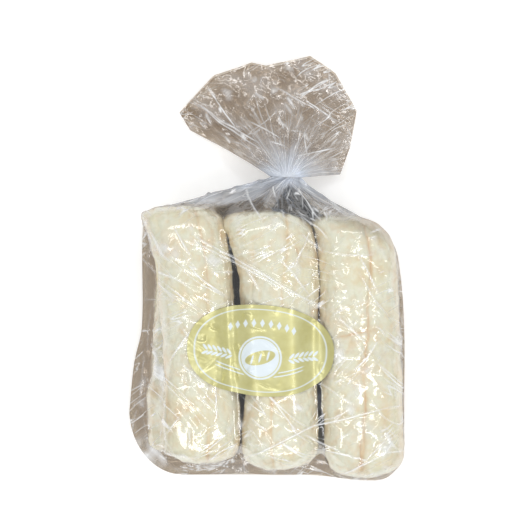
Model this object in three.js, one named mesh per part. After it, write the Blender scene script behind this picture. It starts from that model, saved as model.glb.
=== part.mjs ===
// A clear bag packed with split top french loaves, three across and two deep, gathered shut at its mouth.
// It lies flat on its back: +Z is up, +Y runs along the loaves from the sealed end to the gathered neck,
// and +X is to the right. Millimetres. The origin is on the ground, under the middle of the whole pack.
// The bag and the loaves pressed against its film are one closed body; the label on the film is another.
import * as THREE from "three";

// ---- Driving dimensions -------------------------------------------------------------------------------
const LOAF_HEIGHT = 56; // one loaf, lying on its flat base
const LAYERS = 2;
const PACK_TOP = LOAF_HEIGHT * LAYERS + 2; // film over the loaves, with a little slack
const PACK_SQUARENESS = 6; // superellipse power of the packed section's upper half
const UNDER_SQUARENESS = 4; // and of its lower half, which lies out flat on the ground
const SEAM_Z = 14; // height above the ground at which the upper and lower sheets meet, all round the pack
const SEAM_THICKNESS = 3;
const SEAM_EDGE_POWER = 8; // how late the seam thins down to its edge
const SEAL_Y = -215; // sealed end of the bag
const SEAL_DROP = 6; // the seal lies this much further out on the right, between these two x
const SEAL_DROP_FROM = 30;
const SEAL_DROP_TO = 115;
const SEAL_DROP_REACH = 60; // the drop dies away over this length
const SEAL_ROUNDING = 30; // length over which the packed section closes down to the skirt
const SEAL_ROUNDNESS = 3.5; // superellipse power of that closing
const UNDER_ROUNDING = 45; // and the length for the underside, which closes as a quarter ellipse
const UNDER_ROUNDNESS = 2;
const FLAT_CUT = 3; // the underside is cut flat where it would dip this far below the ground
const NECK = new THREE.Vector3(20, 90, 40); // middle of the gathered neck
const NECK_HALF_WIDTH = 15;
const NECK_HALF_HEIGHT = 10;
const SHOULDER_Y = 30; // where the film leaves the loaves' tops and runs down to the neck
const GATHER_EASE = 1.35; // above 1, the section holds its size longer before it narrows
const RELIEF_START = 12; // gullies and waist fade in between these distances from the seal
const RELIEF_FULL = 50;

// The skirt: how far the two sheets run on past the bread, nearly flat, before they meet in the seam.
const LEFT_SKIRT = 14;
const RIGHT_SKIRT = 8;
const LEAST_SKIRT = 2; // width that the side skirts keep where the film is drawn in over the shoulders
const SKIRT_END_FROM = 0; // distances along the pack between which they narrow to that
const SKIRT_END_TO = 48;
const SEAL_SKIRT = 14;
const SKIRT_RISE = 6; // the upper sheet rises this much over the skirt

// Plan outline of the packed body, as distance along the pack and the seam's x there. The left side bulges
// over the loaf below; both sides run in over the shoulders to the neck.
const LEFT_EDGE = [[-150, -142], [-100, -137], [-62, -129], [40, -128], [55, -122], [72, -65], [90, 5]];
const RIGHT_EDGE = [[-150, 142], [-60, 142], [0, 137], [26, 129], [48, 102], [77, 48], [90, 35]];
const LEFT_CORNER = { length: 68, width: 56 }; // rounding of the sealed corners
const RIGHT_CORNER = { length: 35, width: 30 };

// Gullies between neighbouring loaves of the top layer, as x at the seal and at the shoulder.
const GULLIES = [
  { atSeal: -26, atShoulder: -44 },
  { atSeal: 53, atShoulder: 44 },
];
const GULLY_DEPTH = 12;
const GULLY_HALF_WIDTH = 15;
const END_DENT = 14; // the end wall stands back this far between two loaves
const END_SLANT = 4; // and this far on the left; it stands as far out on the right
const END_SLANT_HALF_WIDTH = 100;
const END_REACH = 60; // both die away over this length from the seal
const WAIST_DEPTH = 8; // the film dips in along the sides, between the two layers
const WAIST_HALF_HEIGHT = 15;
const WAIST_SIDE_POWER = 8; // keeps the waist to the outermost part of the section
const STEP_BACK = 16; // the top layer stands back this far on the left, over the lower layer
const STEP_BACK_FROM = 38; // heights between which it steps back
const STEP_BACK_TO = 76;
const STEP_BACK_POWER = 4;

// The loose mouth above the neck: a fan of film with a straight edge from corner to corner. Each corner is a
// bearing in degrees and a reach from the neck.
const MOUTH_CORNERS = [
  [153, 111], [148, 130], [125, 130], [106.5, 125], [100, 118],
  [79, 129], [65, 120], [44, 101], [26, 73], [5, 56],
];
const FLARE_RIM_Z = 15; // middle height of the rim
const FLARE_FALL_END = 0.9; // share of the way out at which the fan is down at that height
const FLARE_HALF_DEPTH = 7; // half the gap between the fan's upper and lower sheets
const PLEATS = [
  { count: 6.5, height: 5, start: 0.4, lean: 1.4 },
  { count: 10.3, height: 2.5, start: 2.1, lean: -1.1 },
];
const LEAST_FILM = 1.4; // thinnest the body may get

// The oval label on the upper film.
const LABEL_CENTRE = new THREE.Vector2(-6, -81);
const LABEL_HALF_LENGTH = 71;
const LABEL_HALF_WIDTH = 44;
const LABEL_TURN = THREE.MathUtils.degToRad(-4);
const LABEL_FULLNESS = 2.25; // power of the label's oval
const LABEL_THICKNESS = 0.5;
const LABEL_GAP = 1.2; // clear of the faceted film under it

// Facets.
const AROUND = 92; // points in a ring, even
const SKIRT_RINGS = 3;
const WALL_RINGS = 8; // rings up the end wall, closest together at its foot
const WALL_RING_EASE = 2;
const PACKED_RINGS = 8;
const GATHER_RINGS = 11;
const FLARE_RINGS = 9;
const RING_SAMPLES = 240;
const DRAW_STEPS = 5; // rounds it takes to find which point is drawn to a place

// ---- Small helpers ------------------------------------------------------------------------------------

// A smooth curve through [place, value] pairs, in order of place.
function through(pairs) {
  const slope = pairs.map((_, i) => {
    const [x0, y0] = pairs[Math.max(i - 1, 0)];
    const [x1, y1] = pairs[Math.min(i + 1, pairs.length - 1)];
    return (y1 - y0) / (x1 - x0);
  });
  return (x) => {
    let i = 0;
    while (i < pairs.length - 2 && (x - pairs[i + 1][0]) * (pairs[1][0] - pairs[0][0]) > 0) i += 1;
    const [x0, y0] = pairs[i];
    const [x1, y1] = pairs[i + 1];
    const span = x1 - x0;
    const t = THREE.MathUtils.clamp((x - x0) / span, 0, 1);
    const t2 = t * t;
    const t3 = t2 * t;
    return (
      (2 * t3 - 3 * t2 + 1) * y0 + (t3 - 2 * t2 + t) * span * slope[i] +
      (3 * t2 - 2 * t3) * y1 + (t3 - t2) * span * slope[i + 1]
    );
  };
}

const { smoothstep, lerp } = THREE.MathUtils;

// The same polyline with its points evenly spaced along it.
function evenly(points, count) {
  const reach = [0];
  for (let i = 1; i < points.length; i += 1) reach.push(reach[i - 1] + points[i].distanceTo(points[i - 1]));
  const total = reach[reach.length - 1];
  const out = [];
  for (let k = 0, i = 0; k <= count; k += 1) {
    const target = (total * k) / count;
    while (i < points.length - 2 && reach[i + 1] < target) i += 1;
    const t = (target - reach[i]) / (reach[i + 1] - reach[i]);
    out.push(points[i].clone().lerp(points[i + 1], Math.min(t, 1)));
  }
  return out;
}

// ---- The packed body ----------------------------------------------------------------------------------

const leftSide = through(LEFT_EDGE);
const rightSide = through(RIGHT_EDGE);

// How far a sealed corner is rounded in at y.
function cornerCut(y, { length, width }) {
  const past = THREE.MathUtils.clamp((y - SEAL_Y) / length, 0, 1);
  return width * (1 - Math.sqrt(1 - (1 - past) ** 2));
}

// How full the packed section is at y: 0 where it starts to open, 1 once it has opened over a length.
function fullness(y, start, length, roundness) {
  const open = THREE.MathUtils.clamp((y - start) / length, 0, 1);
  return (1 - (1 - open) ** roundness) ** (1 / roundness);
}

// How far the section has gone over from the packed body to the neck: 0 over the loaves, 1 at the neck.
const gather = (y) => smoothstep(y, SHOULDER_Y, NECK.y) ** GATHER_EASE;

// How far relief has faded in from the seal at y.
const reliefShown = (y) => smoothstep(y, SEAL_Y + RELIEF_START, SEAL_Y + RELIEF_FULL);

// How far a point lies in a gully between loaves: 1 on its line, 0 on the loaves beside it.
function gullyShare(x, y) {
  const along = THREE.MathUtils.clamp((y - SEAL_Y) / (SHOULDER_Y - SEAL_Y), 0, 1);
  return GULLIES.reduce((sum, { atSeal, atShoulder }) => {
    const off = (x - lerp(atSeal, atShoulder, along)) / GULLY_HALF_WIDTH;
    return sum + Math.exp(-off * off);
  }, 0);
}

// Depth of the gullies that the film follows between loaves.
function gullyDepth(x, y) {
  const shown = reliefShown(y) * (1 - smoothstep(y, SHOULDER_Y + 15, NECK.y - 15));
  return GULLY_DEPTH * shown * gullyShare(x, y);
}

// How far a point of the upper film moves along the pack near the sealed end, from the seam's height up.
function endShift({ x, y, z }) {
  const risen = smoothstep(z, SEAM_Z, SEAM_Z + SKIRT_RISE);
  const near = 1 - smoothstep(y, SEAL_Y + SEAL_SKIRT, SEAL_Y + END_REACH);
  const slant = END_SLANT * THREE.MathUtils.clamp(-x / END_SLANT_HALF_WIDTH, -1, 1);
  return risen * near * (END_DENT * gullyShare(x, y) + slant);
}

// How far the film comes in at the side of the pack, at a share off the middle of the section and a height:
// a waist between the layers on both sides, and a step back over the lower layer on the left.
function drawIn(off, y, z) {
  const level = (z - LOAF_HEIGHT) / WAIST_HALF_HEIGHT;
  const waist = WAIST_DEPTH * Math.abs(off) ** WAIST_SIDE_POWER * Math.exp(-level * level);
  const waistShown = 1 - smoothstep(y, SHOULDER_Y - 10, SHOULDER_Y + 30);
  if (off > 0) return reliefShown(y) * waistShown * waist;
  const step = STEP_BACK * Math.abs(off) ** STEP_BACK_POWER * smoothstep(z, STEP_BACK_FROM, STEP_BACK_TO);
  const stepShown = 1 - smoothstep(y, SKIRT_END_FROM, SKIRT_END_TO);
  return reliefShown(y) * (waistShown * waist + stepShown * step);
}

// The section of the pack at y: its seams at the left and right, the foot of its walls, and its heights.
function section(y) {
  const gathered = gather(y);
  const skirtEnd = smoothstep(y, SKIRT_END_FROM, SKIRT_END_TO);
  const leftSkirt = lerp(LEFT_SKIRT, LEAST_SKIRT, skirtEnd);
  const rightSkirt = lerp(RIGHT_SKIRT, LEAST_SKIRT, skirtEnd);
  const left = leftSide(y) + cornerCut(y, LEFT_CORNER);
  const right = rightSide(y) - cornerCut(y, RIGHT_CORNER);
  const seam = lerp(SEAM_Z, NECK.z, gathered);
  const top = lerp(seam, PACK_TOP, fullness(y, SEAL_Y + SEAL_SKIRT, SEAL_ROUNDING, SEAL_ROUNDNESS));
  const sealed = seam - (SEAM_THICKNESS / 2) * (1 - gathered);
  const bottom = lerp(sealed, -FLAT_CUT, fullness(y, SEAL_Y, UNDER_ROUNDING, UNDER_ROUNDNESS));
  return {
    left, right, leftSkirt, rightSkirt, gathered, seam,
    wallLeft: left + leftSkirt,
    wallRight: right - rightSkirt,
    top: lerp(top, NECK.z + NECK_HALF_HEIGHT, gathered),
    bottom: lerp(bottom, NECK.z - NECK_HALF_HEIGHT, gathered),
    power: lerp(PACK_SQUARENESS, 2, gathered),
    underPower: lerp(UNDER_SQUARENESS, 2, gathered),
  };
}

// A share off the middle between two walls: -1 at the left one, 1 at the right one.
function shareOff(x, left, right) {
  return THREE.MathUtils.clamp((2 * x - left - right) / (right - left), -1, 1);
}

// Height of a superellipse of a power, at a share off its middle.
const arch = (off, power) => Math.max(1 - Math.abs(off) ** power, 0) ** (1 / power);

// Height of the upper film at a point of the pack: the skirt at its edge, the packed bread inside it.
function upperFilm(x, y) {
  const { left, right, leftSkirt, rightSkirt, wallLeft, wallRight, gathered, seam, top, power } = section(y);
  const rise = arch(shareOff(x, wallLeft, wallRight), power);
  const packed = seam + (top - seam - gullyDepth(x, y)) * rise;
  const fromSides = Math.min((x - left) / leftSkirt, (right - x) / rightSkirt, 1);
  const fromSeal = Math.min((y - SEAL_Y) / SEAL_SKIRT, 1);
  const edge = (SEAM_THICKNESS / 2) * (1 - Math.abs(shareOff(x, left, right)) ** SEAM_EDGE_POWER);
  const skirt = SKIRT_RISE * Math.max(fromSides, 0) * fromSeal * (1 - gathered);
  return Math.max(packed, seam + skirt + edge);
}

// Height of the lower film at a point of the pack: down from the seam to the ground.
function lowerFilm(x, y) {
  const { left, right, seam, bottom, underPower } = section(y);
  return Math.max(seam + (bottom - seam) * arch(shareOff(x, left, right), underPower), 0);
}

// How far to the right the upper film is drawn at a point that would otherwise lie at x.
function drawnBy(x, y) {
  const { wallLeft, wallRight } = section(y);
  const off = shareOff(x, wallLeft, wallRight);
  return -Math.sign(off) * drawIn(off, y, upperFilm(x, y));
}

// Height of the drawn-in upper film over a point of the pack.
function heightOver(x, y) {
  let from = x;
  for (let k = 0; k < DRAW_STEPS; k += 1) from = x - drawnBy(from, y);
  return upperFilm(from, y);
}

// One closed ring of film round the pack at y: over the top from left to right, then back underneath.
function bodyRing(y) {
  const { left, right } = section(y);
  const half = (upper) => {
    const points = [];
    for (let k = 0; k <= RING_SAMPLES; k += 1) {
      const off = -Math.cos((Math.PI * k) / RING_SAMPLES);
      const x = (left + right) / 2 + ((right - left) / 2) * off;
      points.push(new THREE.Vector3(
        upper ? x + drawnBy(x, y) : x,
        y,
        upper ? upperFilm(x, y) : lowerFilm(x, y),
      ));
    }
    return evenly(points, AROUND / 2);
  };
  const over = half(true);
  over.forEach((p) => (p.y += endShift(p)));
  const ring = [...over.slice(0, -1), ...half(false).slice(1).reverse()];
  const drop = SEAL_DROP * (1 - smoothstep(y, SEAL_Y, SEAL_Y + SEAL_DROP_REACH));
  ring.forEach((p) => (p.y -= drop * smoothstep(p.x, SEAL_DROP_FROM, SEAL_DROP_TO)));
  return ring;
}

// ---- The loose mouth ----------------------------------------------------------------------------------

const [firstBearing] = MOUTH_CORNERS[0];
const [lastBearing] = MOUTH_CORNERS[MOUTH_CORNERS.length - 1];

// Reach of the rim at a bearing: straight from one corner to the next.
function rimReach(bearing) {
  const next = MOUTH_CORNERS.findIndex(([corner], i) => i > 0 && corner <= bearing);
  const i = next < 0 ? MOUTH_CORNERS.length - 1 : next;
  const [high, near] = MOUTH_CORNERS[i - 1];
  const [low, far] = MOUTH_CORNERS[i];
  const sine = (from, to) => Math.sin(THREE.MathUtils.degToRad(from - to));
  return (near * far * sine(high, low)) / (near * sine(high, bearing) + far * sine(bearing, low));
}

// Height of the pleats at a share across the fan (0 left, 1 right) and out along it (0 neck, 1 rim).
function pleat(across, out) {
  return PLEATS.reduce(
    (sum, { count, height, start, lean }) =>
      sum + height * out * Math.sin(2 * Math.PI * count * across + start + lean * out),
    0,
  );
}

// One closed ring of the fan, at a share of the way out from the neck to the rim.
function flareRing(out) {
  const ring = [];
  for (let i = 0; i < AROUND; i += 1) {
    const turn = (2 * Math.PI * i) / AROUND;
    const across = (1 - Math.cos(turn)) / 2;
    const bearing = lerp(firstBearing, lastBearing, across);
    const reach = rimReach(bearing) * out;
    const angle = THREE.MathUtils.degToRad(bearing);
    const pinch = (1 - out) ** 2;
    const fall = lerp(NECK.z, FLARE_RIM_Z, smoothstep(out, 0, FLARE_FALL_END));
    const middle = fall + pleat(across, out) * Math.abs(Math.sin(turn));
    const depth = Math.sin(turn) * lerp(NECK_HALF_HEIGHT, FLARE_HALF_DEPTH, out);
    ring.push(
      new THREE.Vector3(
        NECK.x - NECK_HALF_WIDTH * Math.cos(turn) * pinch + reach * Math.cos(angle),
        NECK.y + reach * Math.sin(angle),
        Math.max(middle + depth, LEAST_FILM / 2),
      ),
    );
  }
  for (let i = 1; i < AROUND / 2; i += 1) {
    ring[i].z = Math.max(ring[i].z, ring[AROUND - i].z + LEAST_FILM);
  }
  return ring;
}

// ---- Meshes -------------------------------------------------------------------------------------------

// A closed body through a row of rings. Each end is closed by joining its upper points to the lower ones.
function loft(rings) {
  const count = rings[0].length;
  const index = [];
  for (let r = 0; r < rings.length - 1; r += 1) {
    for (let i = 0; i < count; i += 1) {
      const a = r * count + i;
      const b = r * count + ((i + 1) % count);
      index.push(a, b, a + count, b, b + count, a + count);
    }
  }
  const cap = (start, flip) => {
    for (let i = 0; i < count / 2; i += 1) {
      const above = [start + i, start + i + 1];
      const below = [start + ((count - i) % count), start + count - i - 1];
      const faces = [[above[0], above[1], below[1]], [above[0], below[1], below[0]]];
      faces
        .filter((f) => new Set(f).size === 3)
        .forEach(([p, q, s]) => index.push(...(flip ? [p, s, q] : [p, q, s])));
    }
  };
  cap(0, true);
  cap((rings.length - 1) * count, false);
  return shape(rings.flat(), index);
}

function shape(points, index) {
  const geometry = new THREE.BufferGeometry().setFromPoints(points);
  geometry.setIndex(index);
  geometry.computeVertexNormals();
  return geometry;
}

// Places from one value to another, the first left out; an ease above 1 packs them towards the first.
function stations(from, to, count, ease = 1) {
  return Array.from({ length: count }, (_, k) => lerp(from, to, ((k + 1) / count) ** ease));
}

function bagGeometry() {
  const wallFrom = SEAL_Y + SEAL_SKIRT;
  const packedFrom = SEAL_Y + RELIEF_FULL;
  const along = [
    SEAL_Y,
    ...stations(SEAL_Y, wallFrom, SKIRT_RINGS),
    ...stations(wallFrom, packedFrom, WALL_RINGS, WALL_RING_EASE),
    ...stations(packedFrom, SHOULDER_Y, PACKED_RINGS),
    ...stations(SHOULDER_Y, NECK.y, GATHER_RINGS),
  ];
  return loft([...along.map(bodyRing), ...stations(0, 1, FLARE_RINGS).map(flareRing)]);
}

// A thin oval shell that follows the upper film.
function labelGeometry() {
  const rows = 9;
  const segments = 48;
  const points = [];
  const turned = new THREE.Vector2();
  const place = (share, angle, lift) => {
    const c = Math.cos(angle);
    const s = Math.sin(angle);
    const size = Math.abs(c) ** LABEL_FULLNESS + Math.abs(s) ** LABEL_FULLNESS;
    const grow = share / size ** (1 / LABEL_FULLNESS);
    turned.set(LABEL_HALF_LENGTH * c * grow, LABEL_HALF_WIDTH * s * grow);
    turned.rotateAround(new THREE.Vector2(), LABEL_TURN).add(LABEL_CENTRE);
    return new THREE.Vector3(turned.x, turned.y, heightOver(turned.x, turned.y) + lift);
  };
  const index = [];
  const skin = (lift, flip) => {
    const start = points.length;
    points.push(place(0, 0, lift));
    for (let r = 1; r <= rows; r += 1) {
      for (let i = 0; i < segments; i += 1) points.push(place(r / rows, (2 * Math.PI * i) / segments, lift));
    }
    const at = (r, i) => start + 1 + (r - 1) * segments + (i % segments);
    const add = (a, b, c) => index.push(...(flip ? [a, c, b] : [a, b, c]));
    for (let i = 0; i < segments; i += 1) {
      add(start, at(1, i), at(1, i + 1));
      for (let r = 1; r < rows; r += 1) {
        add(at(r, i), at(r + 1, i), at(r + 1, i + 1));
        add(at(r, i), at(r + 1, i + 1), at(r, i + 1));
      }
    }
    return (i) => at(rows, i);
  };
  const under = skin(LABEL_GAP, true);
  const over = skin(LABEL_GAP + LABEL_THICKNESS, false);
  for (let i = 0; i < segments; i += 1) {
    index.push(under(i), under(i + 1), over(i + 1), under(i), over(i + 1), over(i));
  }
  return shape(points, index);
}

function part(name, geometry, color, roughness) {
  const mesh = new THREE.Mesh(geometry, new THREE.MeshStandardMaterial({ color, roughness, metalness: 0 }));
  mesh.name = name;
  return mesh;
}

const pack = new THREE.Group();
pack.add(part("bag", bagGeometry(), 0xe9dfc8, 0.3));
pack.add(part("label", labelGeometry(), 0xd9cf7c, 0.35));

export default pack;
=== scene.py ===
# Looks of a clear bag of split top french loaves: the bread, the crinkled film round it, the oval label,
# and a pale studio. Everything is worked out in millimetres in the frame's own axes (+Z up, +Y along the
# loaves towards the neck) and turned into metres when a mesh is made.
import math
from dataclasses import dataclass

import bpy
import numpy as np
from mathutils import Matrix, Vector
from mathutils.bvhtree import BVHTree


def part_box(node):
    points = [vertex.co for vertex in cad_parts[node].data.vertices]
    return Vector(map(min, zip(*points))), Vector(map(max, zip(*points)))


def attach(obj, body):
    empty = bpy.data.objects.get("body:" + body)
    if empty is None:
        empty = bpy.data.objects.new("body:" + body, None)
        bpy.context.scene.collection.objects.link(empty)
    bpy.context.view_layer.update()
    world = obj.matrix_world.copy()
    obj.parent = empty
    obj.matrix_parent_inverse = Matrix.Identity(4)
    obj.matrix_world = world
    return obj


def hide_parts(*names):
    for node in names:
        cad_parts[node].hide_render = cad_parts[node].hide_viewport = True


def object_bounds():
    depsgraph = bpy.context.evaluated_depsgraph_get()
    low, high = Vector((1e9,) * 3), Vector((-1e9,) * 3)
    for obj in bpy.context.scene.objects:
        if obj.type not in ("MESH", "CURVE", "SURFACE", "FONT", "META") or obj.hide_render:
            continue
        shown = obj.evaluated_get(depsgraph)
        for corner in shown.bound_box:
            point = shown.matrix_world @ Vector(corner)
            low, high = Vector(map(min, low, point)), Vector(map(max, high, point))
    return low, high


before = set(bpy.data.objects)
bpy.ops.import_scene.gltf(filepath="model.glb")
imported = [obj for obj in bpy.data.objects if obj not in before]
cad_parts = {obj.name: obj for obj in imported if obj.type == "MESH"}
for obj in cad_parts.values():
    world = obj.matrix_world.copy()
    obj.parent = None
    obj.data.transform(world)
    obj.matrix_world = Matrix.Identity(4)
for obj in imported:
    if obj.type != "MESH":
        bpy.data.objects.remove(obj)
CAD_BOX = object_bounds()

MM = 0.001
BODY = "root"
scene = bpy.context.scene


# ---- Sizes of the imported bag, as the frame has them ----

LOAF_HEIGHT = 56
PACK_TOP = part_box("bag")[1].z / MM
PACK_SQUARENESS = 6
UNDER_SQUARENESS = 4
SEAM_Z = 14
SEAM_THICKNESS = 3
SEAM_EDGE_POWER = 8
SEAL_Y = -215
SEAL_DROP = 6
SEAL_DROP_FROM, SEAL_DROP_TO = 30, 115
SEAL_DROP_REACH = 60
SEAL_ROUNDING = 30
SEAL_ROUNDNESS = 3.5
UNDER_ROUNDING = 45
LEFT_SKIRT = 14
RIGHT_SKIRT = 8
SEAL_SKIRT = 14
LEAST_SKIRT = 2
SKIRT_END_FROM, SKIRT_END_TO = 0, 48
SKIRT_RISE = 6
STEP_BACK = 16
STEP_BACK_FROM, STEP_BACK_TO = 38, 76
STEP_BACK_POWER = 4
FLAT_CUT = 3
NECK = (20, 90, 40)
NECK_HALF_WIDTH = 15
NECK_HALF_HEIGHT = 10
SHOULDER_Y = 30
GATHER_EASE = 1.35
RELIEF_START = 12
RELIEF_FULL = 50
GULLIES = [(-26, -44), (53, 44)]  # x at the seal, x at the shoulder
GULLY_DEPTH = 12
GULLY_HALF_WIDTH = 15
END_DENT = 14
END_SLANT = 4
END_SLANT_HALF_WIDTH = 100
END_REACH = 60
WAIST_DEPTH = 8
WAIST_HALF_HEIGHT = 15
WAIST_SIDE_POWER = 8
LEFT_EDGE = [(-150, -142), (-100, -137), (-62, -129), (40, -128), (55, -122), (72, -65), (90, 5)]
RIGHT_EDGE = [(-150, 142), (-60, 142), (0, 137), (26, 129), (48, 102), (77, 48), (90, 35)]
LEFT_CORNER = (68, 56)  # length and width of a rounded sealed corner
RIGHT_CORNER = (35, 30)
MOUTH_CORNERS = [  # bearing from the neck in degrees, reach
    (153, 111), (148, 130), (125, 130), (106.5, 125), (100, 118),
    (79, 129), (65, 120), (44, 101), (26, 73), (5, 56),
]
MOUTH_RIM_Z = 15
MOUTH_FALL_END = 0.9
MOUTH_HALF_DEPTH = 7

LABEL_CENTRE = (-6, -81)
LABEL_HALF_LENGTH = 71
LABEL_HALF_WIDTH = 44
LABEL_TURN = math.radians(-4)
LABEL_FULLNESS = 2.25

# ---- How fine the meshes are ----

FILM_STEP = 1.1
UNDER_STEP = 3.0
CRUST_STEP = 1.3
LOWER_CRUST_STEP = 2.2
LABEL_STEP = 0.6

# About how far it is over the top along the pack, round half of it, out along the fan and across it, round
# the label, and round a loaf's section for each millimetre of its width. They only set the counts of faces.
PACK_RUN = 400
HALF_GIRTH = 345
FAN_RUN = 124
FAN_WIDTH = 300
LABEL_GIRTH = math.tau * 58
LOAF_GIRTH_SHARE = 2.9


# ---- Curves and noise ----
# Points are arrays of any shape whose last axis is x, y and, where it is needed, z.

def ease(x, low, high):
    """0 at low and 1 at high, or the other way round where low is the higher."""
    t = np.clip((x - low) / (high - low), 0, 1)
    return t * t * (3 - 2 * t)


def lerp(a, b, t):
    return a + (b - a) * t


def bell(x, half_width, power=2):
    """1 at x of 0, falling off evenly to both sides."""
    return np.exp(-(np.abs(x) / half_width) ** power)


def rounded(inward, power):
    """0 at the edge of a rounded form and 1 once inward is 1, squarer for a higher power."""
    return (1 - (1 - np.clip(inward, 0, 1)) ** power) ** (1 / power)


def through(pairs):
    """A smooth curve through (place, value) pairs in order of place."""
    places = np.array([p for p, _ in pairs], float)
    values = np.array([v for _, v in pairs], float)
    before = np.maximum(np.arange(len(places)) - 1, 0)
    after = np.minimum(np.arange(len(places)) + 1, len(places) - 1)
    slopes = (values[after] - values[before]) / (places[after] - places[before])

    def curve(x):
        x = np.asarray(x, float)
        i = np.clip(np.searchsorted(places, x, side="right") - 1, 0, len(places) - 2)
        span = places[i + 1] - places[i]
        t = np.clip((x - places[i]) / span, 0, 1)
        t2, t3 = t * t, t * t * t
        return (
            (2 * t3 - 3 * t2 + 1) * values[i] + (t3 - 2 * t2 + t) * span * slopes[i]
            + (3 * t2 - 2 * t3) * values[i + 1] + (t3 - t2) * span * slopes[i + 1]
        )

    return curve


def three_point(t, at_start, half_way, at_end):
    """A parabola through the values at t of 0, a half and 1."""
    rise = 4 * half_way - 3 * at_start - at_end
    bend = at_start + at_end - 2 * half_way
    return at_start + t * rise + 2 * t * t * bend


def line_from(x, y, bearing, length, bend=0.0):
    """A plan line from a place at a bearing in degrees, which turns by bend half way along."""
    points = [np.array([x, y], float)]
    for angle in (math.radians(bearing), math.radians(bearing + bend)):
        points.append(points[-1] + length / 2 * np.array([math.cos(angle), math.sin(angle)]))
    return np.array(points)


def turned(x, y, turn):
    """How far a place is along a direction, and to its left."""
    return x * math.cos(turn) + y * math.sin(turn), y * math.cos(turn) - x * math.sin(turn)


def evenly(points, count):
    """count + 1 points evenly spaced along a polyline."""
    steps = np.linalg.norm(np.diff(points, axis=0), axis=1)
    reach = np.concatenate([[0], np.cumsum(steps)])
    target = np.linspace(0, reach[-1], count + 1)
    return np.stack([np.interp(target, reach, points[:, k]) for k in range(points.shape[1])], axis=1)


def closer_at_ends(start, end, count):
    """Values from start to end that crowd towards both."""
    return lerp(start, end, (1 - np.cos(np.linspace(0, np.pi, count))) / 2)


class Noise:
    """Smooth noise over points in millimetres, about -1 to 1, the same in every run."""

    def __init__(self, seed):
        draw = np.random.default_rng(seed)
        self.table = np.concatenate([draw.permutation(256)] * 3)
        gradients = draw.normal(size=(256, 3))
        self.gradients = gradients / np.linalg.norm(gradients, axis=1, keepdims=True)

    def __call__(self, points):
        cell = np.floor(points).astype(int)
        part = points - cell
        weight = part * part * part * (part * (part * 6 - 15) + 10)
        cell &= 255
        total = np.zeros(points.shape[:-1])
        for corner in range(8):
            step = np.array([corner & 1, (corner >> 1) & 1, (corner >> 2) & 1])
            at = (cell + step) & 255
            hashed = self.table[self.table[self.table[at[..., 0]] + at[..., 1]] + at[..., 2]]
            dot = np.einsum("...i,...i->...", self.gradients[hashed], part - step)
            total += dot * np.prod(np.where(step, weight, 1 - weight), axis=-1)
        return total * 1.6


def octaves(noise, points, size, count, fade=0.5):
    """Noise of one size with finer noise on top of it, each half as large as the one before."""
    total = np.zeros(points.shape[:-1])
    scale = 1.0
    for k in range(count):
        total += scale * noise(points / size * 2 ** k + 17.3 * k)
        scale *= fade
    return total


def ridges(noise, points, size):
    """1 along thin winding lines, falling to 0 between them."""
    return 1 - np.clip(np.abs(noise(points / size)) * 4, 0, 1)


def sway(noise, points, size, much, shifts):
    """Moves in plan that change from place to place."""
    return much * np.stack([noise(points / size + shift) for shift in shifts], axis=-1)


def distance_to_line(points, line):
    """Distance of plan points from a polyline, and the share of the way along it of the nearest place."""
    best = np.full(points.shape[:-1], 1e9)
    share = np.zeros(points.shape[:-1])
    lengths = np.linalg.norm(np.diff(line, axis=0), axis=1)
    before = np.concatenate([[0], np.cumsum(lengths)])
    for k, length in enumerate(lengths):
        along = (line[k + 1] - line[k]) / length
        t = np.clip((points - line[k]) @ along, 0, length)
        away = np.linalg.norm(points - line[k] - t[..., None] * along, axis=-1)
        nearer = away < best
        best = np.where(nearer, away, best)
        share = np.where(nearer, (before[k] + t) / before[-1], share)
    return best, share


# ---- Meshes ----

def grid_faces(rows, columns, around):
    """Quads of a grid of points, row by row; around joins the last column to the first."""
    spans = columns if around else columns - 1
    row, column = np.meshgrid(np.arange(rows - 1), np.arange(spans), indexing="ij")
    beside = (column + 1) % columns
    here, next_row = row * columns, (row + 1) * columns
    quads = [here + column, here + beside, next_row + beside, next_row + column]
    return np.stack(quads, axis=-1).reshape(-1, 4)


def grid_normals(grid):
    """Outward normals of a grid of closed rings of points, which run clockwise seen along its rows."""
    along = np.gradient(grid, axis=0)
    across = (np.roll(grid, -1, axis=1) - np.roll(grid, 1, axis=1)) / 2
    normals = np.cross(across, along)
    return normals / np.maximum(np.linalg.norm(normals, axis=-1, keepdims=True), 1e-9)


def add_object(name, data):
    made = bpy.data.objects.new(name, data)
    scene.collection.objects.link(made)
    return made


def mesh_object(name, points, faces, material, attributes, replaces=None):
    """A smooth shaded piece from points in millimetres, with named numbers at its points."""
    mesh = bpy.data.meshes.new(name)
    corners = np.asarray(points).reshape(-1, 3) * MM
    mesh.from_pydata(corners.tolist(), [], [tuple(int(i) for i in f) for f in faces])
    mesh.polygons.foreach_set("use_smooth", [True] * len(mesh.polygons))
    for key, values in attributes.items():
        layer = mesh.attributes.new(key, "FLOAT", "POINT")
        layer.data.foreach_set("value", np.asarray(values, np.float32).ravel())
    mesh.materials.append(material)
    mesh.update()
    piece = add_object(name, mesh)
    if replaces:
        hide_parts(replaces)
    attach(piece, BODY)


def surface_tree(surfaces):
    """A search tree over the points and faces of some surfaces, for rays to be cast at."""
    points, faces = [], []
    for part_points, part_faces in surfaces:
        faces += [[len(points) + int(i) for i in face] for face in part_faces]
        points += part_points.reshape(-1, 3).tolist()
    return BVHTree.FromPolygons(points, faces)


# ---- Materials ----

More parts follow.
